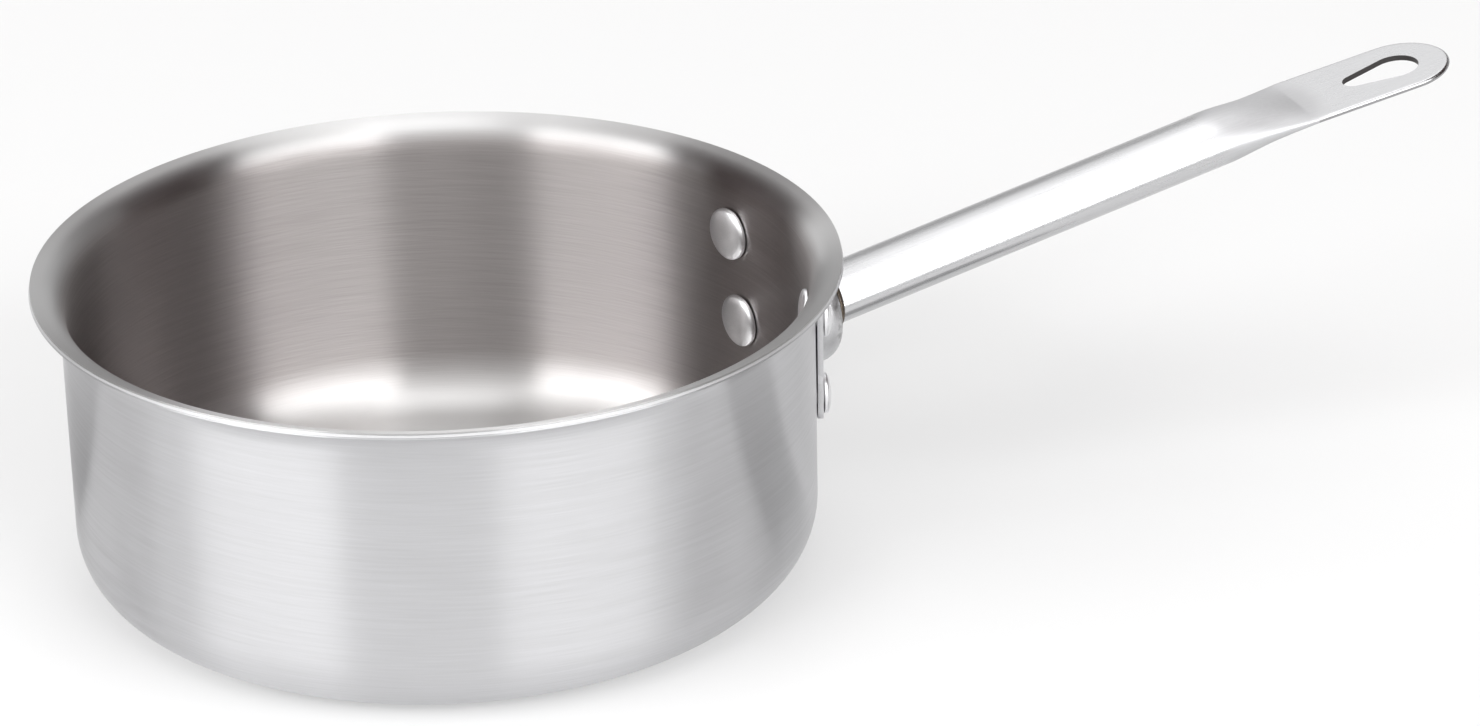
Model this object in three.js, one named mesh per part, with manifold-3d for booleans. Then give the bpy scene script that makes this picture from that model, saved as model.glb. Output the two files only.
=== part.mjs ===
// Stainless steel saucepan: a clad pan with a flared pouring lip, and a tubular handle that is welded
// to a bracket and riveted on with four solid rivets.
// Millimetres, +Z up. The origin is the middle of the base's underside and the handle points along +X.

import * as THREE from 'three';
import { mergeVertices } from 'three/addons/utils/BufferGeometryUtils.js';
import Module from 'manifold-3d';

const degree = Math.PI / 180;

// Pan, drawn from one clad sheet
const wallRadius = 101.3; // outside of the upright wall
const rimHeight = 87.3; // top edge of the lip
const cornerRadius = 17.5; // outside, between base and wall
const flareRadius = 7.4; // underside of the flare
const lipFlat = 2; // straight strip at the end of the flare
const lipRise = 13 * degree; // slope of that strip above level
const outerPly = 0.4; // magnetic stainless steel
const corePly = 0.7; // aluminium
const innerPly = 0.4; // stainless steel on the food side
const bondLine = 0.05; // between two plies

// Bracket, pressed from sheet
const bracketDrop = 32.1; // top of the lip to the bracket's middle
const plateThickness = 1.6;
const plateGap = 0.4; // between wall and plate
const plateMargin = 6.5; // rivet centre to the plate's edge
const plateCorner = 3.5;
const bossHeight = 34; // pressed boss, at its foot
const bossWidth = 39.6;
const bossDepth = 9.7; // plate face to boss face
const bossShoulder = 5; // rounding around the boss face

// Rivets
const rivetRowPitch = 25.1;
const upperSpread = 31.6; // handle's middle plane to a rivet of the upper row
const lowerSpread = 27.2;
const shankRadius = 3;
const insideHeadRadius = 7.5;
const insideHeadHeight = 2.5;
const outsideHeadRadius = 5.6;
const outsideHeadHeight = 2.1;
const headEdge = 0.6; // upright edge below each domed head

// Handle, an oval tube with its far end pressed flat
const handlePitch = 14 * degree;
const tubeLift = 3.2; // tube's middle above the bracket's middle, at the boss face
const tubeWidth = 24.4;
const tubeHeight = 13.6;
const tubeWall = 0.8;
const tubeLength = 146; // boss face to the crease of the tab
const pressLength = 26; // stretch over which the oval turns flat
const pressEase = 1.5; // above 1 the oval holds its height longer and meets the tab more steeply
const tabLength = 47; // crease to tip
const tabDroop = 3 * degree; // tab bent down from the tube's line
const tabBevel = 0.25; // share of a quarter turn that the tab's rounded edge takes
const holeFromTip = 9.2;
const holeLength = 22;
const holeWideRadius = 6.4; // at the tip's end of the teardrop
const holeNarrowRadius = 2.6;
const weldLeg = 1.5;
const weldToe = 0.3; // height of the bead where it runs out on the tube

// Clearances
const fitGap = 0.3; // between pieces that meet
const rivetHoleGap = 0.3; // around each shank

// Fineness of the facets
const panSides = 48;
const ovalSides = 32;
const rivetSides = 16;
const arcSteps = 5;
const pressSteps = 12;
const tipSteps = 7;
const tipTurn = 86 * degree; // the round tip ends in a short straight edge
const hollowShare = 0.92; // share of the pressed stretch where the two walls meet and the hollow ends
const cornerMerge = 1e-5; // corners closer than this are one

// Finishes, as colour and roughness
const outsideSteel = [0xc3c3c6, 0.36];
const coreAluminium = [0xd2d3d5, 0.5];
const insideSteel = [0xbfbcbb, 0.3];
const bracketSteel = [0xc6c6c8, 0.34];
const rivetSteel = [0xd0d0d2, 0.28];
const handleSteel = [0xd4d4d6, 0.3];
const weldSteel = [0x8d8782, 0.55];

// Places that follow from the sizes above
const sheet = outerPly + corePly + innerPly + 2 * bondLine;
const plateFace = wallRadius + plateGap + plateThickness;
const bossFace = plateFace + bossDepth;
const bracketHeight = rimHeight - bracketDrop;
const tabThickness = 2 * tubeWall;

const wasm = await Module();
wasm.setup();

// Closed geometry to solid, and back
function solid(geometry) {
  const bare = geometry.clone();
  bare.deleteAttribute('normal');
  bare.deleteAttribute('uv');
  const merged = mergeVertices(bare, cornerMerge);
  const corners = merged.index.array;
  const triangles = [];
  for (let i = 0; i < corners.length; i += 3) {
    const [a, b, c] = corners.subarray(i, i + 3);
    if (a !== b && b !== c && c !== a) triangles.push(a, b, c);
  }
  const vertProperties = new Float32Array(merged.attributes.position.array);
  const triVerts = new Uint32Array(triangles);
  return new wasm.Manifold(new wasm.Mesh({ numProp: 3, vertProperties, triVerts }));
}

function piece(name, body, material) {
  const faces = body.getMesh();
  const geometry = new THREE.BufferGeometry();
  geometry.setAttribute('position', new THREE.BufferAttribute(faces.vertProperties, 3));
  geometry.setIndex(new THREE.BufferAttribute(faces.triVerts, 1));
  const faceted = geometry.toNonIndexed();
  faceted.computeVertexNormals();
  const mesh = new THREE.Mesh(faceted, material);
  mesh.name = name;
  return mesh;
}

function metal([color, roughness]) {
  return new THREE.MeshStandardMaterial({ color, roughness, metalness: 1 });
}

// Points of a half section, x outwards and y up
function point(x, y) {
  return new THREE.Vector2(x, y);
}

function arc(centreX, centreY, radius, from, to) {
  const points = [];
  for (let i = 0; i <= arcSteps; i += 1) {
    const angle = from + ((to - from) * i) / arcSteps;
    points.push(point(centreX + radius * Math.cos(angle), centreY + radius * Math.sin(angle)));
  }
  return points;
}

// Half section turned about +Z
function turned(points, sides) {
  const geometry = new THREE.LatheGeometry(points, sides);
  return solid(geometry.rotateX(Math.PI / 2));
}

// Line through the sheet at a depth below its outside face, from the axis to the lip's cut edge
function sheetLine(depth) {
  const flareHeight =
    rimHeight - (flareRadius + sheet) * Math.cos(lipRise) - lipFlat * Math.sin(lipRise);
  const corner = arc(wallRadius - cornerRadius, cornerRadius, cornerRadius - depth, -Math.PI / 2, 0);
  const flare = arc(
    wallRadius + flareRadius,
    flareHeight,
    flareRadius + depth,
    Math.PI,
    Math.PI / 2 + lipRise,
  );
  const strip = point(Math.cos(lipRise), Math.sin(lipRise)).multiplyScalar(lipFlat);
  const edge = flare.at(-1).clone().add(strip);
  return [point(0, depth), ...corner, ...flare, edge];
}

// Rivet places, as an angle around the pan and a height
const rivetPlaces = [];
for (const [row, spread, rise] of [['upper', upperSpread, 0.5], ['lower', lowerSpread, -0.5]]) {
  for (const [side, sign] of [['left', 1], ['right', -1]]) {
    const name = `rivet_${row}_${side}`;
    const angle = sign * Math.asin(spread / wallRadius);
    const height = bracketHeight + rise * rivetRowPitch;
    rivetPlaces.push({ name, angle, height });
  }
}

function cutRivetHoles(body) {
  const radius = shankRadius + rivetHoleGap;
  let cut = body;
  for (const { angle, height } of rivetPlaces) {
    const drill = new THREE.CylinderGeometry(radius, radius, bossFace, rivetSides);
    drill.rotateZ(Math.PI / 2).translate(bossFace / 2, 0, 0);
    drill.rotateZ(angle).translate(0, 0, height);
    cut = cut.subtract(solid(drill));
  }
  return cut;
}

function ply(name, depth, thickness, material) {
  const section = [...sheetLine(depth), ...sheetLine(depth + thickness).reverse()];
  const whole = turned(section, panSides);
  return piece(name, cutRivetHoles(whole), material);
}

function makePan() {
  const pan = new THREE.Group();
  const coreDepth = outerPly + bondLine;
  const innerDepth = coreDepth + corePly + bondLine;
  pan.add(ply('pan_outer_ply', 0, outerPly, metal(outsideSteel)));
  pan.add(ply('pan_core_ply', coreDepth, corePly, metal(coreAluminium)));
  pan.add(ply('pan_inner_ply', innerDepth, innerPly, metal(insideSteel)));
  return pan;
}

// Closed outline with every corner rounded
function roundedOutline(corners, radius) {
  const shape = new THREE.Shape();
  corners.forEach((corner, i) => {
    const before = corners.at(i - 1);
    const after = corners[(i + 1) % corners.length];
    const arrive = corner.clone().add(before.clone().sub(corner).setLength(radius));
    const leave = corner.clone().add(after.clone().sub(corner).setLength(radius));
    if (i === 0) shape.moveTo(arrive.x, arrive.y);
    else shape.lineTo(arrive.x, arrive.y);
    shape.quadraticCurveTo(corner.x, corner.y, leave.x, leave.y);
  });
  shape.closePath();
  return shape;
}

// Plate outline in the Y-Z plane, wider at the top as the rivet rows are
function plateOutline() {
  const slope = (upperSpread - lowerSpread) / rivetRowPitch;
  const sideMargin = plateMargin * Math.hypot(1, slope);
  const reach = rivetRowPitch / 2 + plateMargin;
  const middle = (upperSpread + lowerSpread) / 2 + sideMargin;
  const top = middle + slope * reach;
  const bottom = middle - slope * reach;
  const corners = [[-bottom, -reach], [bottom, -reach], [top, reach], [-top, reach]];
  return roundedOutline(corners.map(([y, z]) => point(y, bracketHeight + z)), plateCorner);
}

// Boss with an oval plan and its depth along +X. An inset gives the hollow behind the pressed sheet
function boss(inset) {
  const foot = bossHeight / 2 - inset;
  const depth = 2 * bossDepth - inset;
  const shoulder = bossShoulder - inset;
  const rounding = arc(foot - shoulder, depth - shoulder, shoulder, 0, Math.PI / 2);
  const section = [point(0, 0), point(foot, 0), ...rounding, point(0, depth)];
  const geometry = new THREE.LatheGeometry(section, ovalSides);
  geometry.scale((bossWidth / 2 - inset) / foot, 1, 1);
  const across = new THREE.Vector3(0, 1, 0);
  const outwards = new THREE.Vector3(1, 0, 0);
  const downwards = new THREE.Vector3(0, 0, -1);
  geometry.applyMatrix4(new THREE.Matrix4().makeBasis(across, outwards, downwards));
  geometry.translate(plateFace - bossDepth, 0, bracketHeight);
  return solid(geometry);
}

// Plain drum around the pan's axis, as high as the pan
function drum(radius) {
  const section = [point(0, 0), point(radius, 0), point(radius, rimHeight), point(0, rimHeight)];
  return turned(section, panSides);
}

function makeBracket() {
  const blank = new THREE.ExtrudeGeometry(plateOutline(), {
    depth: bossFace,
    bevelEnabled: false,
    curveSegments: arcSteps,
  });
  const across = new THREE.Vector3(0, 1, 0);
  const upwards = new THREE.Vector3(0, 0, 1);
  const outwards = new THREE.Vector3(1, 0, 0);
  blank.applyMatrix4(new THREE.Matrix4().makeBasis(across, upwards, outwards));
  const plate = drum(plateFace).intersect(solid(blank));
  const inside = drum(wallRadius + plateGap);
  const pressed = plate.add(boss(0)).subtract(inside).subtract(boss(plateThickness));
  return piece('handle_bracket', cutRivetHoles(pressed), metal(bracketSteel));
}

// Rivet along +X: domed head inside the pan, shank, and domed head on the bracket
function makeRivet({ name, angle, height }) {
  const innerFlat = (wallRadius - sheet) * Math.cos(Math.PI / panSides) - fitGap;
  const insideSeat = Math.sqrt(innerFlat ** 2 - insideHeadRadius ** 2);
  const outsideSeat = plateFace + fitGap;
  const dome = (seat, radius, rise, sign) => {
    const points = [];
    for (let i = 0; i <= arcSteps; i += 1) {
      const turn = ((Math.PI / 2) * i) / arcSteps;
      const lift = headEdge + (rise - headEdge) * Math.sin(turn);
      points.push(point(radius * Math.cos(turn), seat + sign * lift));
    }
    return points;
  };
  const section = [
    ...dome(insideSeat, insideHeadRadius, insideHeadHeight, -1).reverse(),
    point(insideHeadRadius, insideSeat),
    point(shankRadius, insideSeat),
    point(shankRadius, outsideSeat),
    point(outsideHeadRadius, outsideSeat),
    ...dome(outsideSeat, outsideHeadRadius, outsideHeadHeight, 1),
  ];
  const geometry = new THREE.LatheGeometry(section, rivetSides).rotateZ(-Math.PI / 2);
  const rivet = piece(name, solid(geometry), metal(rivetSteel));
  rivet.rotation.z = angle;
  rivet.position.z = height;
  return rivet;
}

// Closed bar through a row of stations. Each has a middle, a pitch and a half width, and the half
// heights of the oval and of the flat slab whose sum is its section
function ovalBar(stations) {
  const last = stations.length - 1;
  const geometry = new THREE.CylinderGeometry(1, 1, 1, ovalSides, last);
  const points = geometry.attributes.position;
  for (let i = 0; i < points.count; i += 1) {
    const station = stations[Math.round((0.5 + points.getY(i)) * last)];
    const { x, z, pitch = 0, halfWidth, oval, slab = 0 } = station;
    const side = -points.getX(i) * halfWidth;
    const up = points.getZ(i);
    const lift = up * oval + THREE.MathUtils.clamp(up / tabBevel, -1, 1) * slab;
    points.setXYZ(i, x - lift * Math.sin(pitch), side, z + lift * Math.cos(pitch));
  }
  return solid(geometry);
}

// Width of the tab: the tube's girth is the same before and after it is pressed flat
function tabWidth() {
  const a = tubeWidth / 2;
  const b = tubeHeight / 2;
  const girth = Math.PI * (3 * (a + b) - Math.sqrt((3 * a + b) * (a + 3 * b)));
  return (girth - Math.PI * tabThickness) / 2 + tabThickness;
}

// Stations of the tube's outside, or of its hollow one wall further in, up to a share of the
// pressed stretch
function tubeStations(inset, pressShare) {
  const halfWidth = tubeWidth / 2 - inset;
  const halfHeight = tubeHeight / 2 - inset;
  const stations = [{ x: -tubeWidth, z: 0, halfWidth, oval: halfHeight }];
  for (let i = 0; i / pressSteps <= pressShare; i += 1) {
    const share = i / pressSteps;
    const pressed = share ** pressEase;
    stations.push({
      x: tubeLength - pressLength * (1 - share),
      z: 0,
      halfWidth: THREE.MathUtils.lerp(tubeWidth, tabWidth(), pressed) / 2 - inset,
      oval: (1 - pressed) * halfHeight,
      slab: pressed * (tabThickness / 2 - inset),
    });
  }
  return stations;
}

// Stations of the tab from its crease to its round tip
function tabStations() {
  const radius = tabWidth() / 2;
  const stations = [];
  for (let i = 0; i <= tipSteps; i += 1) {
    const turn = (tipTurn * i) / tipSteps;
    const along = tabLength - radius * (1 - Math.sin(turn));
    stations.push({
      x: tubeLength + along * Math.cos(tabDroop),
      z: -along * Math.sin(tabDroop),
      pitch: -tabDroop,
      halfWidth: radius * Math.cos(turn),
      oval: 0,
      slab: tabThickness / 2,
    });
  }
  return stations;
}

// Teardrop hole through the tab, in the tab's own plane with the crease at zero
function hangingHole() {
  const wide = tabLength - holeFromTip - holeWideRadius;
  const narrow = tabLength - holeFromTip - holeLength + holeNarrowRadius;
  const touch = Math.PI - Math.acos((holeWideRadius - holeNarrowRadius) / (wide - narrow));
  const outline = new THREE.Shape();
  outline.absarc(wide, 0, holeWideRadius, -touch, touch, false);
  outline.absarc(narrow, 0, holeNarrowRadius, touch, 2 * Math.PI - touch, false);
  outline.closePath();
  const depth = tubeHeight;
  const punch = new THREE.ExtrudeGeometry(outline, {
    depth,
    bevelEnabled: false,
    curveSegments: 2 * arcSteps,
  });
  punch.translate(0, 0, -depth / 2).rotateY(tabDroop).translate(tubeLength, 0, 0);
  return solid(punch);
}

function makeTube() {
  const outside = ovalBar([...tubeStations(0, 1), ...tabStations()]);
  const hollow = ovalBar(tubeStations(tubeWall, hollowShare));
  const block = new THREE.BoxGeometry(tubeLength, tubeLength, tubeLength);
  block.translate(fitGap - tubeLength / 2, 0, 0).rotateY(handlePitch);
  const body = outside.subtract(hollow).subtract(solid(block)).subtract(hangingHole());
  const tube = piece('handle_tube', body, metal(handleSteel));
  const handle = new THREE.Group();
  handle.position.set(bossFace, 0, bracketHeight + tubeLift);
  handle.rotation.y = -handlePitch;
  return handle.add(tube);
}

// Fillet weld around the tube's end on the boss face
function makeWeld() {
  const station = (along, grow) => ({
    x: bossFace + fitGap + along,
    z: bracketHeight + tubeLift + (fitGap + along) * Math.tan(handlePitch),
    halfWidth: tubeWidth / 2 + fitGap + grow,
    oval: (tubeHeight / 2 + fitGap) / Math.cos(handlePitch) + grow,
  });
  const bead = ovalBar([station(0, weldLeg), station(weldLeg, weldToe)]);
  const bore = ovalBar([station(-weldLeg, 0), station(2 * weldLeg, 0)]);
  return piece('handle_weld', bead.subtract(bore), metal(weldSteel));
}

const saucepan = new THREE.Group();
saucepan.add(makePan(), makeBracket(), makeTube(), makeWeld(), ...rivetPlaces.map(makeRivet));

export default saucepan;
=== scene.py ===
import math

import bpy
from mathutils import Matrix, Vector


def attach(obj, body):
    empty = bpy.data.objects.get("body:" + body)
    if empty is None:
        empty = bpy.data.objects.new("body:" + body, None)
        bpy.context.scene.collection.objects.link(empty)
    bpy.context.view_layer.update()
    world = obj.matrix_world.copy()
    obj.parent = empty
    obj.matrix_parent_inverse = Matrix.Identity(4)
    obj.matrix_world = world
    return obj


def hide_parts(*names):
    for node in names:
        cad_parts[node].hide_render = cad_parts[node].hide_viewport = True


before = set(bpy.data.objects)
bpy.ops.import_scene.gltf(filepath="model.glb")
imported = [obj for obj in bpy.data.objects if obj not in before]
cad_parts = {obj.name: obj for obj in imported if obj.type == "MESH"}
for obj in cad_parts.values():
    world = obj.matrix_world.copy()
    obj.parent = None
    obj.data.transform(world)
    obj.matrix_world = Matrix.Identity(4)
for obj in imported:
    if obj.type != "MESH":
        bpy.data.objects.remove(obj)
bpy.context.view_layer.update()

# Stainless saucepan with a riveted tube handle.
# Metres, +Z up, the pan's axis on Z, the handle along +X.


# Small helpers

def deselectAll():
    if bpy.context.object and bpy.context.object.mode != "OBJECT":
        bpy.ops.object.mode_set(mode="OBJECT")
    bpy.ops.object.select_all(action="DESELECT")


def takeOnly(piece):
    deselectAll()
    piece.select_set(True)
    bpy.context.view_layer.objects.active = piece


def drawLine(name, points):
    # one vertex drawn out along the points, left in edit mode
    deselectAll()
    bpy.ops.mesh.primitive_plane_add(size=0.001, location=points[0])
    line = bpy.context.object
    line.name = name
    bpy.ops.object.transform_apply()
    bpy.ops.object.mode_set(mode="EDIT")
    bpy.ops.mesh.merge(type="CENTER")
    for here, there in zip(points, points[1:]):
        bpy.ops.mesh.extrude_vertices_move(TRANSFORM_OT_translate={"value": there - here})
    return line


def closeSkin(threshold=2e-6):
    # in edit mode: seams merged, faces outwards
    bpy.ops.mesh.select_all(action="SELECT")
    bpy.ops.mesh.remove_doubles(threshold=threshold)
    bpy.ops.mesh.dissolve_degenerate(threshold=threshold / 2)
    bpy.ops.mesh.select_all(action="SELECT")
    bpy.ops.mesh.normals_make_consistent(inside=False)
    bpy.ops.object.mode_set(mode="OBJECT")


def turnLine(name, points, steps, axis=(0, 0, 1)):
    # closed half section spun into a solid
    piece = drawLine(name, points)
    bpy.ops.mesh.select_all(action="SELECT")
    bpy.ops.mesh.spin(steps=steps, angle=2 * math.pi, center=(0, 0, 0), axis=axis)
    closeSkin()
    return piece


def arcPoints(centreX, centreZ, radius, fromAngle, toAngle, steps):
    points = []
    for i in range(steps + 1):
        angle = math.radians(fromAngle + (toAngle - fromAngle) * i / steps)
        x = centreX + radius * math.cos(angle)
        z = centreZ + radius * math.sin(angle)
        points.append(Vector((x, 0, z)))
    return points


def cutAway(piece, cutter, operation="DIFFERENCE"):
    takeOnly(piece)
    cut = piece.modifiers.new("cut", "BOOLEAN")
    cut.operation = operation
    cut.solver = "EXACT"
    cut.object = cutter
    bpy.ops.object.modifier_apply(modifier=cut.name)
    bpy.ops.object.mode_set(mode="EDIT")
    closeSkin()


def finishPiece(piece, node, material, smoothAngle=32):
    takeOnly(piece)
    bpy.ops.object.transform_apply()
    bpy.ops.object.shade_smooth_by_angle(angle=math.radians(smoothAngle))
    piece.data.materials.clear()
    piece.data.materials.append(material)
    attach(piece, "root")
    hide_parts(node)
    print(f"piece {piece.name}: {len(piece.data.polygons)} faces")
    return piece


# Camera, where the photographer stood

camera = {
    "place": (-0.3399, -1.1874, 0.6167),
    "azimuth": -19.72,   # degrees, 0 looks along +Y
    "elevation": 24.484,
    "roll": -1.099,
    "focalPixels": 5000,
    "imageWidth": 1480,
    "sensorWidth": 36,
    "clipStart": 0.01,
}


def addCamera(c):
    lens = bpy.data.cameras.new("studioCamera")
    lens.sensor_width = c["sensorWidth"]
    lens.lens = c["sensorWidth"] * c["focalPixels"] / c["imageWidth"]
    lens.clip_start = c["clipStart"]
    body = bpy.data.objects.new("studioCamera", lens)
    bpy.context.scene.collection.objects.link(body)
    turn = Matrix.Rotation(math.radians(c["azimuth"]), 3, "Z")
    tilt = Matrix.Rotation(math.radians(90 - c["elevation"]), 3, "X")
    roll = Matrix.Rotation(math.radians(c["roll"]), 3, "Z")
    body.location = c["place"]
    body.rotation_euler = (turn @ tilt @ roll).to_euler()
    bpy.context.scene.camera = body


addCamera(camera)
print("camera placed")


# Materials

noiseSpan = (0.3, 0.7)   # where most of a noise texture's values lie
crossingShare = 0.4   # of the brush marks that run at a slant


def addNode(tree, kind, sockets, **settings):
    # a socket given as another node's output is linked, any other value is typed in
    node = tree.nodes.new(kind)
    for key, value in settings.items():
        setattr(node, key, value)
    for key, value in sockets.items():
        if isinstance(value, bpy.types.NodeSocket):
            tree.links.new(value, node.inputs[key])
        else:
            node.inputs[key].default_value = value
    return node


def mathNode(tree, operation, a, b):
    return addNode(tree, "ShaderNodeMath", {0: a, 1: b}, operation=operation).outputs[0]


def vectorNode(tree, operation, a, b):
    return addNode(tree, "ShaderNodeVectorMath", {0: a, 1: b}, operation=operation).outputs[0]


def pickColour(tree, share, one, other):
    return addNode(tree, "ShaderNodeMix", {0: share, 6: one, 7: other}, data_type="RGBA").outputs[2]


def remap(tree, value, fromLow, fromHigh, low, high):
    sockets = {0: value, 1: fromLow, 2: fromHigh, 3: low, 4: high}
    return addNode(tree, "ShaderNodeMapRange", sockets).outputs[0]


def noise(tree, place, scale, detail):
    sockets = {"Vector": place, "Scale": scale, "Detail": detail, "Roughness": 0.6}
    return addNode(tree, "ShaderNodeTexNoise", sockets).outputs["Fac"]


def objectPlace(tree):
    return addNode(tree, "ShaderNodeTexCoord", {}).outputs["Object"]


def turnedPlace(tree, finish, slant):
    # around the pan's axis: short steps along the section, long ones around
    place = objectPlace(tree)
    parts = addNode(tree, "ShaderNodeSeparateXYZ", {0: place}).outputs
    flat = addNode(tree, "ShaderNodeCombineXYZ", {0: parts["X"], 1: parts["Y"]}).outputs[0]
    radius = addNode(tree, "ShaderNodeVectorMath", {0: flat}, operation="LENGTH").outputs["Value"]
    section = mathNode(tree, "ADD", radius, parts["Z"])
    section = mathNode(tree, "ADD", section, mathNode(tree, "MULTIPLY", parts["X"], slant))
    across = mathNode(tree, "DIVIDE", section, finish["markWidth"])
    lift = addNode(tree, "ShaderNodeCombineXYZ", {2: across}).outputs[0]
    around = vectorNode(tree, "DIVIDE", flat, (finish["markLength"],) * 3)
    return vectorNode(tree, "ADD", around, lift)


def straightPlace(tree, finish, slant):
    # along a straight line, which is +X once turned
    turn = Vector(finish["turn"]) + Vector((0, 0, slant))
    sockets = {"Vector": objectPlace(tree), "Rotation": turn}
    turned = addNode(tree, "ShaderNodeMapping", sockets).outputs[0]
    size = (finish["markLength"], finish["markWidth"], finish["markWidth"])
    return vectorNode(tree, "DIVIDE", turned, size)


def newSteel(finish, findPlace):
    # metal with fine brush marks in its colour, roughness and bump, and broad smears in its roughness
    material = bpy.data.materials.new(finish["name"])
    material.use_nodes = True
    tree = material.node_tree
    steel = tree.nodes["Principled BSDF"]
    steel.inputs["Metallic"].default_value = 1
    marks = noise(tree, findPlace(tree, finish, 0), 1, 3)
    crossing = noise(tree, findPlace(tree, finish, finish["slant"]), 1, 2)
    marks = mathNode(tree, "MULTIPLY", marks, 1 - crossingShare)
    marks = mathNode(tree, "ADD", marks, mathNode(tree, "MULTIPLY", crossing, crossingShare))
    lightness = remap(tree, marks, *noiseSpan, 0, 1)
    colour = pickColour(tree, lightness, (*finish["dark"], 1), (*finish["light"], 1))
    smears = noise(tree, objectPlace(tree), 1 / finish["smearSize"], 2)
    smears = remap(tree, smears, *noiseSpan, -finish["smear"], finish["smear"])
    rough = mathNode(tree, "ADD", remap(tree, marks, *noiseSpan, *finish["roughness"]), smears)
    sockets = {"Height": marks, "Strength": 1, "Distance": finish["markDepth"]}
    bump = addNode(tree, "ShaderNodeBump", sockets)
    tree.links.new(bump.outputs[0], steel.inputs["Normal"])
    tree.links.new(colour, steel.inputs["Base Color"])
    tree.links.new(rough, steel.inputs["Roughness"])
    return material, tree, steel, colour, rough, bump


def brushAround(finish):
    # sheet brushed on the lathe, so gloss spreads along the section and stays crisp around it
    material, tree, steel, colour, rough, bump = newSteel(finish, turnedPlace)
    steel.inputs["Anisotropic"].default_value = finish["anisotropy"]
    steel.inputs["Anisotropic Rotation"].default_value = 0.25   # a quarter turn
    around = vectorNode(tree, "CROSS_PRODUCT", (0, 0, 1), objectPlace(tree))
    tree.links.new(around, steel.inputs["Tangent"])
    if "floorPaintedLightColour" in finish:
        # the floor inside and the lip are polished finer than the wall, and given a lighter colour than
        # the wall as painted light
        height = addNode(tree, "ShaderNodeSeparateXYZ", {0: objectPlace(tree)}).outputs["Z"]
        floor = remap(tree, height, *finish["floorHeights"], 1, 0)
        lip = remap(tree, height, *finish["lipHeights"], 0, 1)
        fine = mathNode(tree, "MAXIMUM", floor, lip)
        colour = pickColour(tree, floor, colour, (*finish["floorPaintedLightColour"], 1))
        colour = pickColour(tree, lip, colour, (*finish["lipPaintedLightColour"], 1))
        onFloor = remap(tree, floor, 0, 1, 1, finish["floorRoughness"])
        onLip = remap(tree, lip, 0, 1, 1, finish["lipRoughness"])
        rough = mathNode(tree, "MULTIPLY", mathNode(tree, "MULTIPLY", rough, onFloor), onLip)
        strength = remap(tree, fine, 0, 1, 1, finish["polishedBump"])
        tree.links.new(colour, steel.inputs["Base Color"])
        tree.links.new(rough, steel.inputs["Roughness"])
        tree.links.new(strength, bump.inputs["Strength"])
    return material


def shareFrom(tree, place, reach):
    # 0 at a place, 1 on an oval around it
    apart = vectorNode(tree, "SUBTRACT", objectPlace(tree), place)
    apart = vectorNode(tree, "DIVIDE", apart, reach)
    return addNode(tree, "ShaderNodeVectorMath", {0: apart}, operation="LENGTH").outputs["Value"]


def brushStraight(finish):
    # brushed along one line, with what wear, heat, the press and the shears left
    material, tree, steel, colour, rough, _ = newSteel(finish, straightPlace)
    if "outwardEdgeRange" in finish:
        # lighter where the surface turns outwards
        sharp = addNode(tree, "ShaderNodeNewGeometry", {}).outputs["Pointiness"]
        outwardEdge = remap(tree, sharp, *finish["outwardEdgeRange"], 0, 1)
        colour = pickColour(tree, outwardEdge, colour, (*finish["outwardEdge"], 1))
    if "burntAndShade" in finish:
        # dark around the weld, with a ragged edge: partly heat tint, partly painted shade where the tube
        # meets the boss
        apart = shareFrom(tree, finish["burnShadePlace"], finish["burnShadeReach"])
        ragged = noise(tree, objectPlace(tree), 1 / finish["burnShadeRagged"], 3)
        wander = finish["burnShadeWander"]
        apart = mathNode(tree, "ADD", apart, remap(tree, ragged, *noiseSpan, -wander, wander))
        burntAndShade = remap(tree, apart, *finish["burnShadeEdge"], 1, 0)
        colour = pickColour(tree, burntAndShade, colour, (*finish["burntAndShade"], 1))
    if "pressedRoughness" in finish:
        # the press leaves its stretch duller
        apart = shareFrom(tree, finish["pressedPlace"], finish["pressedReach"])
        dull = remap(tree, apart, *finish["pressedEdge"], finish["pressedRoughness"], 0)
        rough = mathNode(tree, "MAXIMUM", rough, dull)
    if "cutEdgeShade" in finish:
        # sheared edges, marked on the mesh, are left dull and dark; the near-black is partly dull cut
        # steel, partly painted shade in the hole and a painted dark reflection along the tab's sides
        cut = addNode(tree, "ShaderNodeAttribute", {}, attribute_name="cutEdgeShade").outputs["Fac"]
        colour = pickColour(tree, cut, colour, (*finish["cutEdgeShade"], 1))
        dull = mathNode(tree, "MULTIPLY", cut, finish["cutRoughness"])
        rough = mathNode(tree, "MAXIMUM", rough, dull)
    tree.links.new(colour, steel.inputs["Base Color"])
    tree.links.new(rough, steel.inputs["Roughness"])
    return material


def heatedSteel(finish):
    # weld bead: blotches of heat colour over a near-black base, which is partly heat tint and partly
    # painted shade in the junction, dull
    material, tree, steel, *_ = newSteel(finish, straightPlace)
    blotches = noise(tree, objectPlace(tree), 1 / finish["blotchSize"], 3)
    straw = remap(tree, blotches, *finish["strawFrom"], 0, 1)
    blue = remap(tree, blotches, *finish["blueFrom"], 0, 1)
    tint = pickColour(tree, straw, (*finish["burntAndShade"], 1), (*finish["straw"], 1))
    tint = pickColour(tree, blue, tint, (*finish["blue"], 1))
    tree.links.new(tint, steel.inputs["Base Color"])
    return material


handlePitch = 14   # degrees, for the tube and its brush marks

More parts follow.
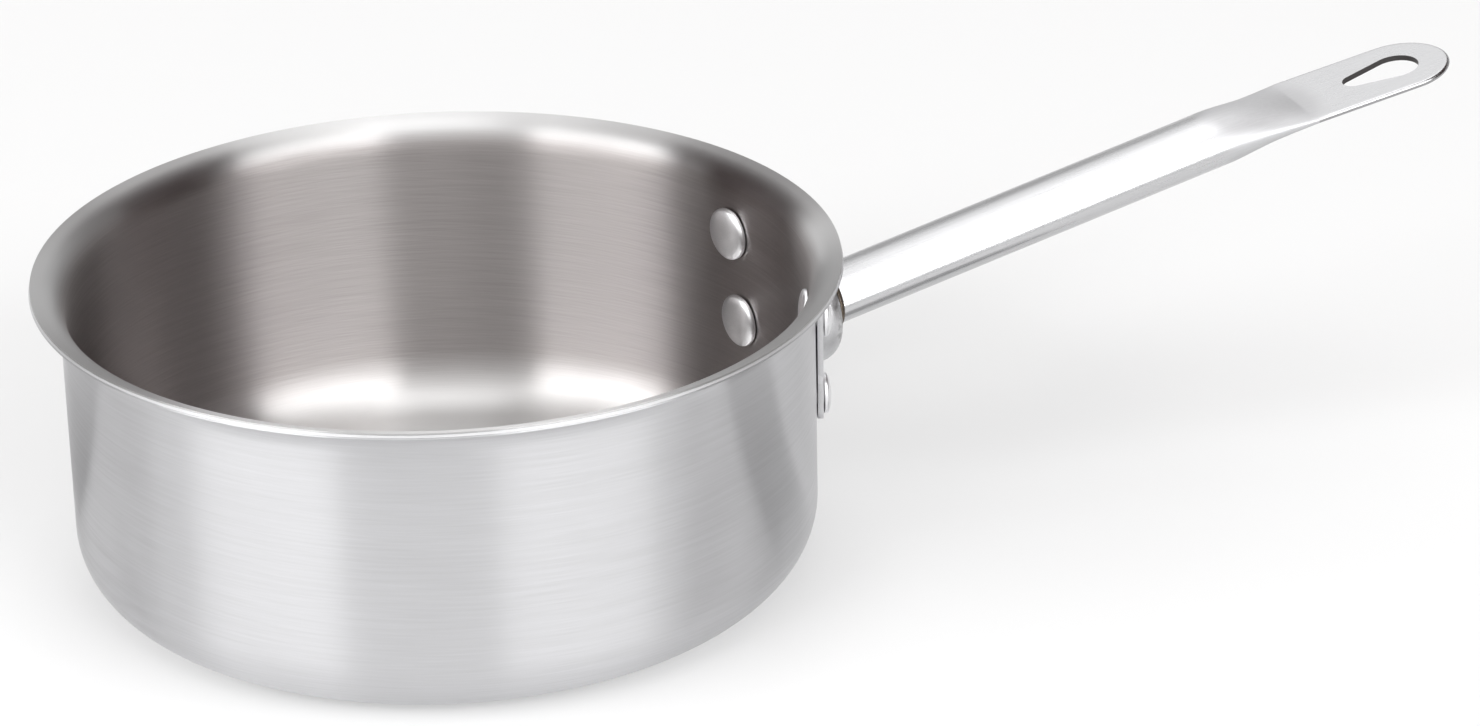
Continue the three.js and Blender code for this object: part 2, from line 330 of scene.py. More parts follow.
outsideFinish = {
    "name": "outsideSteel",
    "dark": (0.59, 0.59, 0.6),
    "light": (0.65, 0.65, 0.665),
    "roughness": (0.34, 0.3),
    "anisotropy": 1,
    "markWidth": 0.0007,
    "markLength": 0.03,
    "markDepth": 0.000005,
    "slant": 0.06,
    "smearSize": 0.025,
    "smear": 0.015,
}
insideFinish = {
    "name": "insideSteel",
    # painted shade: the wall's warm colour is set darker than the outside steel's to darken the inside
    "dark": (0.395, 0.368, 0.363),
    "light": (0.465, 0.438, 0.433),
    "roughness": (0.43, 0.39),
    "anisotropy": 1,
    "markWidth": 0.0005,
    "markLength": 0.035,
    "markDepth": 0.00006,
    "slant": 0.1,
    "smearSize": 0.03,
    "smear": 0.01,
    "floorHeights": (0.002, 0.016),
    # painted light: the floor's colour is lighter than the wall's
    "floorPaintedLightColour": (0.66, 0.655, 0.65),
    "floorRoughness": 0.8,   # share of the wall's
    "lipHeights": (0.081, 0.085),
    # painted light: the lip's colour is lighter than the wall's, for its highlight
    "lipPaintedLightColour": (0.54, 0.535, 0.535),
    "lipRoughness": 0.85,
    "polishedBump": 0.3,
}
coreFinish = {
    "name": "coreAluminium",
    "dark": (0.7, 0.7, 0.71),
    "light": (0.8, 0.8, 0.81),
    "roughness": (0.5, 0.4),
    "anisotropy": 0.6,
    "markWidth": 0.0002,
    "markLength": 0.01,
    "markDepth": 0.00001,
    "slant": 0.05,
    "smearSize": 0.01,
    "smear": 0.03,
}
bracketFinish = {
    "name": "bracketSteel",
    "dark": (0.58, 0.58, 0.59),
    "light": (0.66, 0.66, 0.67),
    "roughness": (0.5, 0.42),
    "markWidth": 0.0004,
    "markLength": 0.012,
    "markDepth": 0.000006,
    "turn": (0, 0, math.pi / 2),
    "slant": 0.15,
    "smearSize": 0.008,
    "smear": 0.04,
    # lighter colour on edges that turn outwards
    "outwardEdge": (0.74, 0.74, 0.75),
    "outwardEdgeRange": (0.52, 0.58),
    # near-black around the weld: partly heat tint, partly painted shade in the junction
    "burntAndShade": (0.04, 0.035, 0.03),
    "burnShadePlace": (0.1104, 0, 0.0578),   # where the tube meets the boss
    "burnShadeReach": (0.008, 0.0172, 0.0122),
    "burnShadeEdge": (0.75, 1.1),   # dark up to the first share of that reach, clear at the second
    "burnShadeRagged": 0.004,
    "burnShadeWander": 0.2,
}
handleFinish = {
    "name": "handleSteel",
    "dark": (0.56, 0.56, 0.57),
    "light": (0.62, 0.62, 0.63),
    "roughness": (0.3, 0.22),
    "markWidth": 0.0004,
    "markLength": 0.045,
    "markDepth": 0.000003,
    "turn": (0, math.radians(handlePitch), 0),
    "slant": 0.03,
    "smearSize": 0.012,
    "smear": 0.02,
    # near-black for the hole's wall and, at a share, the tab's sides: partly dull cut steel, partly
    # painted shade and a painted dark reflection
    "cutEdgeShade": (0.08, 0.075, 0.075),
    "cutRoughness": 0.5,
    "pressedRoughness": 0.5,
    "pressedPlace": (0.243, 0, 0.09),   # middle of the pressed stretch
    "pressedReach": (0.025, 0.03, 0.03),
    "pressedEdge": (0.6, 1),
}
rivetFinish = {
    "name": "rivetSteel",
    # lighter than the pan's steel: partly the polished heads, partly painted light
    "dark": (0.8, 0.8, 0.81),
    "light": (0.88, 0.88, 0.89),
    "roughness": (0.42, 0.34),
    "markWidth": 0.0003,
    "markLength": 0.004,
    "markDepth": 0.000004,
    "turn": (0.4, 0.3, math.pi / 2),
    "slant": 0.9,
    "smearSize": 0.004,
    "smear": 0.03,
}
weldFinish = {
    "name": "weldSteel",
    "dark": (0.3, 0.3, 0.3),
    "light": (0.3, 0.3, 0.3),
    "roughness": (0.6, 0.42),
    "markWidth": 0.0004,
    "markLength": 0.0015,
    "markDepth": 0.00008,
    "turn": (0, 0, 0),
    "slant": 0.5,
    "smearSize": 0.003,
    "smear": 0.06,
    "blotchSize": 0.004,
    # near-black base of the bead: partly heat tint, partly painted shade in the junction
    "burntAndShade": (0.05, 0.045, 0.04),
    "straw": (0.16, 0.13, 0.1),
    "strawFrom": (0.35, 0.5),
    "blue": (0.13, 0.14, 0.17),
    "blueFrom": (0.52, 0.66),
}

outsideSteel = brushAround(outsideFinish)
insideSteel = brushAround(insideFinish)
coreAluminium = brushAround(coreFinish)
bracketSteel = brushStraight(bracketFinish)
handleSteel = brushStraight(handleFinish)
rivetSteel = brushStraight(rivetFinish)
weldSteel = heatedSteel(weldFinish)
print("materials made")


# Rivet places, shared by the pan, the bracket and the rivets

rivet = {
    "rowPitch": 0.0251,
    "middleHeight": 0.0552,
    "upperSpread": 0.0316,
    "lowerSpread": 0.0272,
    "shankRadius": 0.003,
    "holeRadius": 0.0033,
    "insideHead": (0.0075, 0.0025),   # radius and height
    "outsideHead": (0.0056, 0.0021),
    "headEdge": 0.0006,
    "seatGap": 0.0003,   # under both heads
    "drillReach": 0.13,
    "domeSteps": 10,
    "sides": 48,
}

pan = {
    "wallRadius": 0.1013,
    "rimHeight": 0.0873,
    "cornerRadius": 0.0175,
    "flareRadius": 0.0074,
    "lipFlat": 0.002,
    "lipRise": 13,
    "outerPly": 0.0004,
    "corePly": 0.0007,
    "innerPly": 0.0004,
    "bondLine": 0.00005,
    "sides": 192,
    "floorSteps": 4,
    "cornerSteps": 16,
    "wallSteps": 14,
    "flareSteps": 14,
}
pan["sheet"] = pan["outerPly"] + pan["corePly"] + pan["innerPly"] + 2 * pan["bondLine"]


def rivetPlaces():
    places = []
    rows = (("upper", rivet["upperSpread"], 0.5), ("lower", rivet["lowerSpread"], -0.5))
    for row, spread, rise in rows:
        for side, sign in (("left", 1), ("right", -1)):
            angle = sign * math.asin(spread / pan["wallRadius"])
            height = rivet["middleHeight"] + rise * rivet["rowPitch"]
            places.append((f"rivet_{row}_{side}", angle, height))
    return places


def rivetDrill():
    # four round cutters in one mesh
    reach = rivet["drillReach"]
    cutters = []
    for _, angle, height in rivetPlaces():
        middle = (reach / 2 * math.cos(angle), reach / 2 * math.sin(angle), height)
        deselectAll()
        bpy.ops.mesh.primitive_cylinder_add(
            vertices=rivet["sides"], radius=rivet["holeRadius"], depth=reach,
            location=middle, rotation=(0, math.pi / 2, angle))
        bpy.ops.object.transform_apply()
        cutters.append(bpy.context.object)
    for cutter in cutters:
        cutter.select_set(True)
    bpy.context.view_layer.objects.active = cutters[0]
    bpy.ops.object.join()
    return cutters[0]


def sheetLine(depth):
    # line in the sheet at a depth below its outside face, from the axis to the lip's cut edge
    rise = math.radians(pan["lipRise"])
    flareTop = (pan["flareRadius"] + pan["sheet"]) * math.cos(rise)
    flareHeight = pan["rimHeight"] - flareTop - pan["lipFlat"] * math.sin(rise)
    flareMiddle = pan["wallRadius"] + pan["flareRadius"]
    cornerMiddle = pan["wallRadius"] - pan["cornerRadius"]
    corner = arcPoints(cornerMiddle, pan["cornerRadius"], pan["cornerRadius"] - depth,
                       -90, 0, pan["cornerSteps"])
    flare = arcPoints(flareMiddle, flareHeight, pan["flareRadius"] + depth,
                      180, 90 + pan["lipRise"], pan["flareSteps"])
    wall = [corner[-1].lerp(flare[0], i / pan["wallSteps"]) for i in range(1, pan["wallSteps"])]
    edge = flare[-1] + Vector((math.cos(rise), 0, math.sin(rise))) * pan["lipFlat"]
    floorSteps = pan["floorSteps"]
    floor = [Vector((cornerMiddle * i / floorSteps, 0, depth)) for i in range(floorSteps)]
    return [*floor, *corner, *wall, *flare, edge]


def makePly(node, depth, thickness, material, drill):
    under = sheetLine(depth)
    over = sheetLine(depth + thickness)
    piece = turnLine(node.replace("pan", "dressed"), [*under, *reversed(over)], pan["sides"])
    cutAway(piece, drill)
    return finishPiece(piece, node, material)


drill = rivetDrill()
makePly("pan_outer_ply", 0, pan["outerPly"], outsideSteel, drill)
coreDepth = pan["outerPly"] + pan["bondLine"]
makePly("pan_core_ply", coreDepth, pan["corePly"], coreAluminium, drill)
innerDepth = coreDepth + pan["corePly"] + pan["bondLine"]
makePly("pan_inner_ply", innerDepth, pan["innerPly"], insideSteel, drill)
print("pan turned")


# Bracket, pressed from sheet

bracket = {
    "thickness": 0.0016,
    "plateGap": 0.0004,
    "margin": 0.0065,   # rivet centre to the plate's edge
    "corner": 0.0035,
    "bossHeight": 0.0297,
    "bossWidth": 0.0396,
    "bossDepth": 0.0071,
    "bossRise": 0.0011,   # its middle over the plate's
    "shoulder": 0.005,
    "footFillet": 0.002,
    "edgeRound": 0.0003,
    "edgeAngle": 50,   # sharper edges than this are rounded
    "cornerSteps": 16,
    "around": 256,
    "plateRings": 10,
    "filletRings": 6,
    "shoulderRings": 8,
    "faceRings": 6,
}
bracket["plateFace"] = pan["wallRadius"] + bracket["plateGap"] + bracket["thickness"]
bracket["bossFace"] = bracket["plateFace"] + bracket["bossDepth"]


def plateCorners():
    slope = (rivet["upperSpread"] - rivet["lowerSpread"]) / rivet["rowPitch"]
    reach = rivet["rowPitch"] / 2 + bracket["margin"]
    middle = (rivet["upperSpread"] + rivet["lowerSpread"]) / 2
    middle += bracket["margin"] * math.hypot(1, slope)
    top = middle + slope * reach
    bottom = middle - slope * reach
    return [Vector(c) for c in ((bottom, -reach), (top, reach), (-top, reach), (-bottom, -reach))]


def roundedOutline(corners, radius, steps, count):
    # evenly spaced points along a closed outline with rounded corners
    dense = []
    for i, corner in enumerate(corners):
        arrive = corner + (corners[i - 1] - corner).normalized() * radius
        leave = corner + (corners[(i + 1) % len(corners)] - corner).normalized() * radius
        for step in range(steps + 1):
            share = step / steps
            dense.append(arrive.lerp(corner, share).lerp(corner.lerp(leave, share), share))
    dense.append(dense[0])
    lengths = [(b - a).length for a, b in zip(dense, dense[1:])]
    spacing = sum(lengths) / count
    points = []
    run = 0
    for a, b, length in zip(dense, dense[1:], lengths):
        while len(points) < count and len(points) * spacing <= run + length:
            points.append(a.lerp(b, (len(points) * spacing - run) / max(length, 1e-9)))
        run += length
    return points


def bossReach(direction, inset):
    # from the boss's middle to its oval foot, or to an oval inside that
    width = bracket["bossWidth"] - 2 * inset
    height = bracket["bossHeight"] - 2 * inset
    return 1 / math.hypot(direction.x * 2 / width, direction.y * 2 / height)


def bracketRings():
    # each ring: its zone, its share of the way or inset there, and its height over the plate
    rings = []
    fillet = bracket["footFillet"]
    shoulder = bracket["shoulder"]
    depth = bracket["bossDepth"]
    for i in range(bracket["plateRings"]):
        rings.append(("plate", i / bracket["plateRings"], 0))
    for i in range(bracket["filletRings"] + 1):
        angle = math.pi / 2 * i / bracket["filletRings"]
        rings.append(("boss", -fillet * (1 - math.sin(angle)), fillet * (1 - math.cos(angle))))
    for i in range(bracket["shoulderRings"] + 1):
        angle = math.pi / 2 * i / bracket["shoulderRings"]
        rise = depth - shoulder + shoulder * math.sin(angle)
        rings.append(("boss", shoulder * (1 - math.cos(angle)), rise))
    for i in range(1, bracket["faceRings"]):
        rings.append(("face", i / bracket["faceRings"], depth))
    return rings


def makeBracket(drill):
    outline = roundedOutline(plateCorners(), bracket["corner"], bracket["cornerSteps"],
                             bracket["around"])
    rings = bracketRings()
    deselectAll()
    bpy.ops.mesh.primitive_circle_add(vertices=bracket["around"], radius=1, fill_type="NOTHING")
    piece = bpy.context.object
    piece.name = "dressed_bracket"
    bpy.ops.object.mode_set(mode="EDIT")
    for i in range(1, len(rings)):
        bpy.ops.mesh.extrude_edges_move()
        bpy.ops.transform.resize(value=((len(rings) - i) / (len(rings) - i + 1),) * 3)
    bpy.ops.mesh.edge_face_add()
    bpy.ops.mesh.poke()
    bpy.ops.object.mode_set(mode="OBJECT")
    bossMiddle = Vector((0, bracket["bossRise"]))
    for vertex in piece.data.vertices:
        radius = vertex.co.to_2d().length
        ring = round((1 - radius) * len(rings))
        if ring >= len(rings):
            vertex.co = (bracket["bossFace"], 0, rivet["middleHeight"] + bracket["bossRise"])
            continue
        around = math.atan2(vertex.co.y, vertex.co.x) / (2 * math.pi)
        edge = outline[round(around * bracket["around"]) % bracket["around"]]
        direction = edge.normalized()
        kind, amount, rise = rings[ring]
        if kind == "plate":
            outer = bossReach(direction, -bracket["footFillet"])
            place = edge.lerp(bossMiddle + direction * outer, amount)
        elif kind == "boss":
            place = bossMiddle + direction * bossReach(direction, amount)
        else:
            inner = bossReach(direction, bracket["shoulder"])
            place = bossMiddle + direction * inner * (1 - amount)
        onPlate = math.sqrt(bracket["plateFace"] ** 2 - place.x ** 2)
        share = rise / bracket["bossDepth"]
        out = onPlate + (bracket["bossFace"] - onPlate) * share
        vertex.co = (out, place.x, rivet["middleHeight"] + place.y)
    bpy.ops.object.mode_set(mode="EDIT")
    closeSkin()
    bossTop = max(piece.data.polygons, key=lambda face: face.center.x)
    if bossTop.normal.x < 0:
        piece.data.flip_normals()
    skin = piece.modifiers.new("sheet", "SOLIDIFY")
    skin.thickness = bracket["thickness"]
    skin.offset = -1
    bpy.ops.object.modifier_apply(modifier=skin.name)
    soften = piece.modifiers.new("edges", "BEVEL")
    soften.width = bracket["edgeRound"]
    soften.segments = 2
    soften.limit_method = "ANGLE"
    soften.angle_limit = math.radians(bracket["edgeAngle"])
    bpy.ops.object.modifier_apply(modifier=soften.name)
    cutAway(piece, drill)
    return finishPiece(piece, "handle_bracket", bracketSteel)


makeBracket(drill)
bpy.data.objects.remove(drill)
print("bracket pressed")


# Rivets

def rivetLine():
    # half section along +X, from the head in the pan to the head on the bracket
    flat = pan["wallRadius"] - pan["sheet"] - rivet["seatGap"]
    headRadius, headHeight = rivet["insideHead"]
    clenchRadius, clenchHeight = rivet["outsideHead"]
    inside = math.sqrt(flat ** 2 - headRadius ** 2)
    outside = bracket["plateFace"] + rivet["seatGap"]
    edge = rivet["headEdge"]

    def dome(seat, radius, height, sign):
        points = []
        for i in range(rivet["domeSteps"] + 1):
            turn = math.pi / 2 * i / rivet["domeSteps"]
            rise = edge + (height - edge) * math.sin(turn)
            points.append(Vector((seat + sign * rise, 0, radius * math.cos(turn))))
        return points

    shank = rivet["shankRadius"]
    return [
        *reversed(dome(inside, headRadius, headHeight, -1)),
        Vector((inside, 0, headRadius)), Vector((inside, 0, shank)),
        Vector((outside, 0, shank)), Vector((outside, 0, clenchRadius)),
        *dome(outside, clenchRadius, clenchHeight, 1),
    ]


def makeRivets():
    first = turnLine("rivetPattern", rivetLine(), rivet["sides"], axis=(1, 0, 0))
    for node, angle, height in rivetPlaces():
        takeOnly(first)
        bpy.ops.object.duplicate()
        copy = bpy.context.object
        copy.name = node.replace("rivet", "dressed_rivet")
        copy.rotation_euler.z = angle
        copy.location.z = height
        finishPiece(copy, node, rivetSteel)
    bpy.data.objects.remove(first)


makeRivets()
print("rivets set")


# Handle tube with its pressed tab

handle = {
    "pitch": handlePitch,
    "lift": 0.00255,
    "width": 0.0244,
    "height": 0.0136,
    "wall": 0.0008,
    "length": 0.1487,
    "press": 0.026,
    "pressEase": 1.5,
    "tab": 0.047,
    "tabDroop": 3,
    "holeFromTip": 0.0088,
    "holeLength": 0.0232,
    "holeWide": 0.0068,
    "holeNarrow": 0.0036,
    "holeSides": (72, 40),
    "punchDepth": 0.012,
    "edgeDarkReflection": 0.4,   # share of the cut edge's darkness, painted on the tab's sides as a dark reflection
    "uprightBelow": 0.7,   # a face is an edge where its normal leans up less
    "smoothAngle": 24,
    "gap": 0.0003,
    "sides": 96,
    "edgeShare": 0.2,
    "pressSteps": 26,
    "tabSteps": 4,
    "tipSteps": 24,
}
handle["start"] = Vector((bracket["bossFace"], 0, rivet["middleHeight"] + handle["lift"]))


def tabWidth():
    # the girth stays as it was in the oval
    a, b, thick = handle["width"] / 2, handle["height"] / 2, 2 * handle["wall"]
    girth = math.pi * (3 * (a + b) - math.sqrt((3 * a + b) * (a + 3 * b)))
    return (girth - math.pi * thick) / 2 + thick


def slabPoint(turn):
    # flat section with round edges, at an angle around it
    half, thick = tabWidth() / 2, handle["wall"]
    edge = handle["edgeShare"] * math.pi / 2
    fromSide = abs(math.remainder(turn, math.pi))
    sign = 1 if math.cos(turn) > 0 else -1
    up = 1 if math.sin(turn) >= 0 else -1
    if fromSide <= edge:
        bend = fromSide / edge * math.pi / 2
        return sign * (half - thick + thick * math.cos(bend)), up * thick * math.sin(bend)
    share = 1 - (fromSide - edge) / (math.pi / 2 - edge)
    return sign * (half - thick) * share, up * thick


def handlePlace(along, across, lift):
    # tube's own line to the pan's frame
    pitch = math.radians(handle["pitch"])
    return handle["start"] + Vector((
        along * math.cos(pitch) - lift * math.sin(pitch), across,
        along * math.sin(pitch) + lift * math.cos(pitch)))


def pressTube(piece):
    pitch = math.radians(handle["pitch"])
    droop = math.radians(handle["tabDroop"])
    tipStart = handle["tab"] - tabWidth() / 2
    for vertex in piece.data.vertices:
        along, across, lift = vertex.co
        turn = math.atan2(lift / handle["height"], across / handle["width"])
        share = min(max((along - handle["length"] + handle["press"]) / handle["press"], 0), 1)
        pressed = share ** handle["pressEase"]
        flatAcross, flatLift = slabPoint(turn)
        if pressed > 0:
            across += (flatAcross - across) * pressed
            lift += (flatLift - lift) * pressed
        past = along - handle["length"]
        if along < 1e-6:
            along = handle["gap"] / math.cos(pitch) + lift * math.tan(pitch)
        if past > 0:
            if past > tipStart:
                tip = min((past - tipStart) / (tabWidth() / 2), 1) * math.pi / 2
                past = tipStart + abs(across) * math.sin(tip)
                across *= math.cos(tip)
            along = handle["length"] + past * math.cos(droop) + lift * math.sin(droop)
            lift = lift * math.cos(droop) - past * math.sin(droop)
        vertex.co = handlePlace(along, across, lift)


def stationsAlong(start, length, steps):
    return [start + length * (i + 1) / steps for i in range(steps)]


def drawTube():
    # oval ring drawn out along +X, one ring for each station
    deselectAll()
    bpy.ops.mesh.primitive_circle_add(vertices=handle["sides"], radius=0.5, fill_type="NOTHING",
                                      rotation=(math.pi / 2, 0, math.pi / 2))
    piece = bpy.context.object
    piece.name = "dressed_tube"
    piece.scale = (handle["width"], handle["height"], 1)
    bpy.ops.object.transform_apply()
    tipStart = handle["length"] + handle["tab"] - tabWidth() / 2
    pressStart = handle["length"] - handle["press"]
    stations = [pressStart / 2, pressStart]
    stations += stationsAlong(pressStart, handle["press"], handle["pressSteps"])
    stations += stationsAlong(handle["length"], tipStart - handle["length"], handle["tabSteps"])
    stations += stationsAlong(tipStart, tabWidth() / 2, handle["tipSteps"])
    bpy.ops.object.mode_set(mode="EDIT")
    here = 0
    for there in stations:
        bpy.ops.mesh.extrude_edges_move(TRANSFORM_OT_translate={"value": (there - here, 0, 0)})
        here = there
    # the hollow, drawn back in from the open end
    bpy.ops.object.mode_set(mode="OBJECT")
    for vertex in piece.data.vertices:
        vertex.select = False
    for edge in piece.data.edges:
        edge.select = all(abs(piece.data.vertices[v].co.x) < 1e-7 for v in edge.vertices)
    bpy.ops.object.mode_set(mode="EDIT")
    bpy.ops.mesh.select_mode(type="EDGE")
    bpy.ops.mesh.extrude_edges_move()
    innerWidth = 1 - 2 * handle["wall"] / handle["width"]
    innerHeight = 1 - 2 * handle["wall"] / handle["height"]
    bpy.ops.transform.resize(value=(1, innerWidth, innerHeight), center_override=(0, 0, 0))
    bpy.ops.mesh.extrude_edges_move(TRANSFORM_OT_translate={"value": (pressStart, 0, 0)})
    bpy.ops.mesh.edge_face_add()
    bpy.ops.mesh.select_mode(type="VERT")
    bpy.ops.object.mode_set(mode="OBJECT")
    return piece


def holePunch():
    # teardrop drawn around a wide and a narrow post
    wide = handle["tab"] - handle["holeFromTip"] - handle["holeWide"]
    narrow = handle["tab"] - handle["holeFromTip"] - handle["holeLength"] + handle["holeNarrow"]
    wideSides, narrowSides = handle["holeSides"]
    depth = handle["punchDepth"]
    deselectAll()
    bpy.ops.mesh.primitive_cylinder_add(
        vertices=wideSides, radius=handle["holeWide"], depth=depth, location=(wide, 0, 0))
    punch = bpy.context.object
    bpy.ops.object.transform_apply()
    bpy.ops.object.mode_set(mode="EDIT")
    bpy.ops.mesh.primitive_cylinder_add(
        vertices=narrowSides, radius=handle["holeNarrow"], depth=depth, location=(narrow, 0, 0))
    bpy.ops.mesh.select_all(action="SELECT")
    bpy.ops.mesh.convex_hull()
    bpy.ops.object.mode_set(mode="OBJECT")
    droop = math.radians(handle["tabDroop"])
    for vertex in punch.data.vertices:
        past, across, lift = vertex.co
        along = handle["length"] + past * math.cos(droop) + lift * math.sin(droop)
        vertex.co = handlePlace(along, across, lift * math.cos(droop) - past * math.sin(droop))
    return punch


def markCutEdgesAndShade(piece):
    # for the finish: the punched hole's wall is darkest, partly dull cut steel and partly painted shade;
    # the tab's edge gets a share of that darkness as a painted dark reflection
    lean = math.radians(handle["pitch"] - handle["tabDroop"])
    tabUp = Vector((-math.sin(lean), 0, math.cos(lean)))
    tabAlong = Vector((math.cos(lean), 0, math.sin(lean)))
    tabStart = handlePlace(handle["length"], 0, 0)
    holeSide = handle["holeWide"] + handle["gap"]
    holeEnd = handle["tab"] - handle["holeFromTip"] + handle["gap"]
    marks = piece.data.attributes.new("cutEdgeShade", "FLOAT", "FACE")
    for face, mark in zip(piece.data.polygons, marks.data):
        past = (face.center - tabStart).dot(tabAlong)
        upright = abs(face.normal.dot(tabUp)) < handle["uprightBelow"]
        inHole = abs(face.center.y) < holeSide and past < holeEnd
        if upright and past > 0:
            mark.value = 1 if inHole else handle["edgeDarkReflection"]


def makeTube():
    piece = drawTube()
    pressTube(piece)
    takeOnly(piece)
    bpy.ops.object.mode_set(mode="EDIT")
    closeSkin()
    punch = holePunch()
    cutAway(piece, punch)
    bpy.data.objects.remove(punch)
    markCutEdgesAndShade(piece)
    return finishPiece(piece, "handle_tube", handleSteel, handle["smoothAngle"])


makeTube()
print("handle drawn")


# Weld bead around the tube's end

weld = {
    "leg": 0.0015,
    "around": 180,
    "section": 12,
    "ripples": 46,
    "rippleDepth": 0.00008,
    "taper": 0.8,   # lost of the leg along the tube
    "smoothAngle": 60,
}


def makeWeld():
    deselectAll()
    bpy.ops.mesh.primitive_torus_add(major_segments=weld["around"], minor_segments=weld["section"],
                                     major_radius=1, minor_radius=0.1)
    piece = bpy.context.object
    piece.name = "dressed_weld"
    gap = handle["gap"]
    pitch = math.radians(handle["pitch"])
    for vertex in piece.data.vertices:
        around = math.atan2(vertex.co.y, vertex.co.x)
        section = math.atan2(vertex.co.z, vertex.co.to_2d().length - 1)
        # fillet: square to the boss face, lying on the tube
        swell = 0.5 + 0.5 * math.cos(section)
        forward = 0.5 + 0.5 * math.sin(section)
        ripple = weld["rippleDepth"] * math.cos(around * weld["ripples"])
        grow = weld["leg"] * swell * (1 - weld["taper"] * forward) + ripple * swell
        along = gap + weld["leg"] * forward
        halfWidth = handle["width"] / 2 + gap + grow
        halfHeight = (handle["height"] / 2 + gap) / math.cos(pitch) + grow
        across = halfWidth * math.cos(around)
        lift = halfHeight * math.sin(around) + along * math.tan(pitch)
        vertex.co = handle["start"] + Vector((along, across, lift))
    bpy.ops.object.mode_set(mode="EDIT")
    closeSkin()
    return finishPiece(piece, "handle_weld", weldSteel, weld["smoothAngle"])


makeWeld()
print("weld laid")


# Studio: pale floor inside a light tent with bright and dark panels, and grey cloth beside the pan

studio = {
    "floorSize": 12,
    "paper": 0.43,
    "paperGlow": 0.41,   # lifts the floor to white for the camera and in the gloss
    "paperRoughness": 0.9,
    "tentRadius": 4,
    "tentFoot": -0.01,
    "tentStep": 5,   # degrees between its ribs
    # brightness of the tent up to a height in degrees, from and to degrees to the camera's right
    "tent": [
        (25, [(-180, -160, 0.5), (-160, -140, 1.3), (-140, -90, 0.03), (-90, -30, 1.0), (-30, 20, 1.2),
              (20, 75, 0.8), (75, 115, 0.03), (115, 165, 0.5), (165, 180, 0.8)]),
        (40, [(-180, -160, 1.2), (-160, -80, 0.03), (-80, -30, 9), (-30, 20, 0.4), (20, 70, 7.5),
              (70, 165, 0.03), (165, 180, 1.2)]),
        (60, [(-180, -160, 1.8), (-160, -85, 0.03), (-85, -30, 1.6), (-30, 20, 1.1), (20, 75, 2.0),
              (75, 160, 0.03), (160, 180, 2.2)]),
        (80, [(-180, -150, 2.4), (-150, -75, 0.03), (-75, 75, 2.4), (75, 150, 0.03),
              (150, 180, 2.4)]),
        (90, [(-180, 180, 2.6)]),
    ],
    "flag": (0.04, 0.02, 0.02),   # brown-black panels
    "flagBelow": 0.1,
    "cloth": (0.45, 0.45, 0.45),
    "clothSides": [(-130, -100), (80, 100)],
    "clothFrom": 0.13,   # metres from the pan's axis
    "clothTo": 0.22,
    "clothLift": 0.002,
}


def addFloor():
    deselectAll()
    bpy.ops.mesh.primitive_plane_add(size=studio["floorSize"], location=(0, 0, 0))
    floor = bpy.context.object
    floor.name = "paleFloor"
    material = bpy.data.materials.new("palePaper")
    material.use_nodes = True
    paper = material.node_tree.nodes["Principled BSDF"]
    paper.inputs["Base Color"].default_value = (studio["paper"],) * 3 + (1,)
    paper.inputs["Roughness"].default_value = studio["paperRoughness"]
    paper.inputs["Specular IOR Level"].default_value = 0
    paper.inputs["Emission Color"].default_value = (1, 1, 1, 1)
    tree = material.node_tree
    path = addNode(tree, "ShaderNodeLightPath", {})
    seen = mathNode(tree, "MAXIMUM", path.outputs["Is Camera Ray"], path.outputs["Is Glossy Ray"])
    seen = mathNode(tree, "MAXIMUM", seen, path.outputs["Is Transmission Ray"])
    glow = mathNode(tree, "MULTIPLY", seen, studio["paperGlow"])
    tree.links.new(glow, paper.inputs["Emission Strength"])
    floor.data.materials.append(material)


def glowing(name, colour):
    material = bpy.data.materials.new(name)
    material.use_nodes = True
    tree = material.node_tree
    tree.nodes.remove(tree.nodes["Principled BSDF"])
    light = addNode(tree, "ShaderNodeEmission", {"Color": (*colour, 1), "Strength": 1})
    tree.links.new(light.outputs[0], tree.nodes["Material Output"].inputs["Surface"])
    return material


def tentLevel(side, height):
    for top, panels in studio["tent"]:
        if height < top:
            return next(level for start, end, level in panels if start <= side < end)


def sideOf(direction):
    # degrees to the camera's right, 0 behind the camera
    turn = math.degrees(math.atan2(direction.x, -direction.y)) - camera["azimuth"]
    return math.remainder(turn, 360)


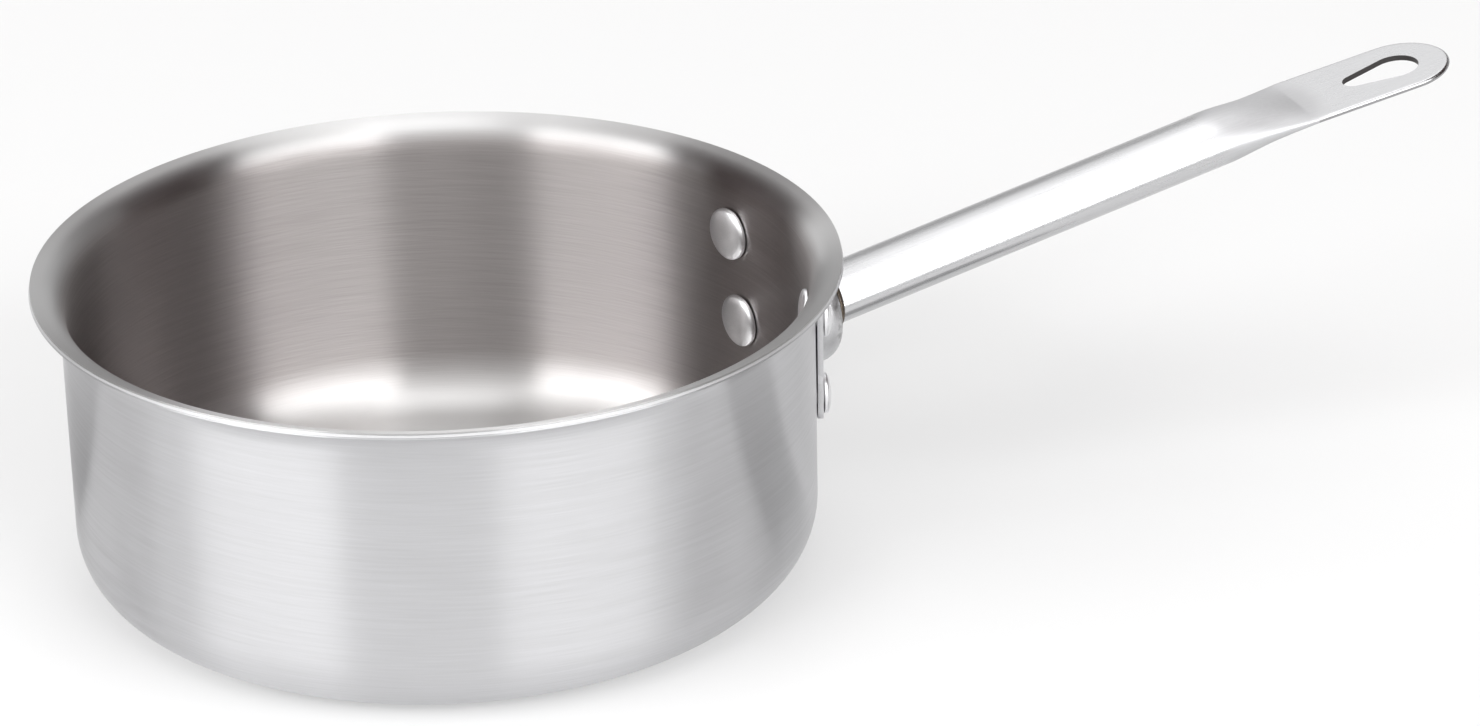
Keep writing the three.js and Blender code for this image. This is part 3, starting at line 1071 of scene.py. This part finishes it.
def addTent():
    ribs = 360 // studio["tentStep"]
    deselectAll()
    bpy.ops.mesh.primitive_uv_sphere_add(
        segments=ribs, ring_count=ribs // 2, radius=studio["tentRadius"],
        rotation=(0, 0, math.radians(camera["azimuth"])))
    tent = bpy.context.object
    tent.name = "lightTent"
    bpy.ops.object.transform_apply()
    bpy.ops.object.mode_set(mode="EDIT")
    bpy.ops.mesh.bisect(plane_co=(0, 0, studio["tentFoot"]), plane_no=(0, 0, 1), clear_inner=True)
    bpy.ops.object.mode_set(mode="OBJECT")
    slots = {}
    for face in tent.data.polygons:
        direction = face.center.normalized()
        level = tentLevel(sideOf(direction), math.degrees(math.asin(direction.z)))
        if level not in slots:
            colour = studio["flag"] if level < studio["flagBelow"] else (level,) * 3
            tent.data.materials.append(glowing(f"tentPanel{len(slots)}", colour))
            slots[level] = len(slots)
        face.material_index = slots[level]
    tent.visible_camera = False


def addCloth():
    # grey cloth close to the pan at both sides, seen only in its gloss
    cloth = glowing("greyCloth", studio["cloth"])
    near = Vector((0, -studio["clothFrom"], studio["clothLift"]))
    far = Vector((0, -studio["clothTo"], studio["clothLift"]))
    for start, end in studio["clothSides"]:
        steps = round((end - start) / studio["tentStep"])
        piece = drawLine("tableCloth", [near, far])
        bpy.ops.mesh.select_all(action="SELECT")
        bpy.ops.mesh.spin(steps=steps, angle=math.radians(end - start), center=(0, 0, 0), axis=(0, 0, 1))
        bpy.ops.object.mode_set(mode="OBJECT")
        first = min(sideOf(vertex.co) for vertex in piece.data.vertices)
        piece.rotation_euler.z = math.radians(start - first)
        bpy.ops.object.transform_apply()
        piece.data.materials.append(cloth)
        piece.visible_camera = False
        piece.visible_diffuse = False
        piece.visible_shadow = False


def addWorld():
    world = bpy.data.worlds.new("studioWorld")
    bpy.context.scene.world = world
    world.use_nodes = True
    world.node_tree.nodes["Background"].inputs["Color"].default_value = (1, 1, 1, 1)


addFloor()
addTent()
addCloth()
addWorld()
bpy.context.scene.view_settings.view_transform = "Standard"
print("studio lit")
